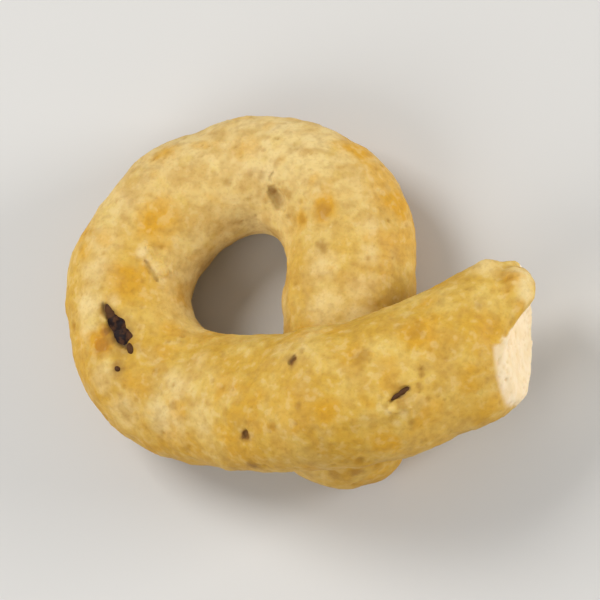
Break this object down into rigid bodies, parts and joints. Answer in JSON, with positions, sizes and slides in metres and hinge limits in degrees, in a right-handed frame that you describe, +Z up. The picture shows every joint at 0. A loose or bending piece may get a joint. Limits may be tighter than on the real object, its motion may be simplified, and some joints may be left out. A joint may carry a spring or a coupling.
{
  "type": "tarallo",
  "caption": "Savoury ring biscuit: a baked rope of dough looped round a hole, its two ends crossed and pressed together, with small bits of olive in the crust.",
  "frame": {"origin": "middle of the bounding box at its bottom, on the plane that the biscuit lies on", "axes": "+X towards the cut tail, +Y across the plan towards the far side of the loop, +Z up from the tray"},
  "size_m": [0.056, 0.0426, 0.0215],
  "materials": {
    "baked_crust": "dry golden baked dough with a faint oily sheen"
  },
  "bodies": {
    "root": {"tarallo": "baked_crust"}
  },
  "joints": []
}
